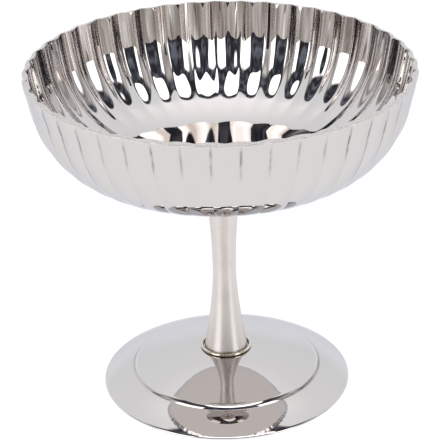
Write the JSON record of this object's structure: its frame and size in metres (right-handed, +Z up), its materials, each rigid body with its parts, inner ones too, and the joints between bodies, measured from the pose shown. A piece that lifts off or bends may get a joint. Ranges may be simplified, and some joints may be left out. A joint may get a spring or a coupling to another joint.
{
  "type": "footed dessert cup",
  "caption": "Polished steel dessert cup: wide fluted bowl with a scalloped rim on a waisted hollow stem with a collar ring and a domed, stepped foot, clamped together by a hidden tie rod.",
  "frame": {"origin": "on the table, at the centre of the foot", "axes": "+Z up along the stem's axis; -Y faces the viewer"},
  "size_m": [0.1106, 0.1106, 0.0997],
  "materials": {
    "bowl_polished_steel": "mirror polished stainless steel",
    "foot_polished_steel": "mirror polished stainless steel",
    "stem_satin_steel": "satin, fine lengthwise and turned marks",
    "ring_steel": "polished, slightly golden from brazing heat",
    "fastener_steel": "bright turned steel"
  },
  "bodies": {
    "root": {"bowl": "bowl_polished_steel", "stem": "stem_satin_steel", "collar_ring": "ring_steel", "foot": "foot_polished_steel", "bowl_boss": "fastener_steel", "tie_rod": "fastener_steel", "clamp_washer": "fastener_steel", "lock_washer": "fastener_steel", "nut": "fastener_steel"}
  },
  "joints": []
}
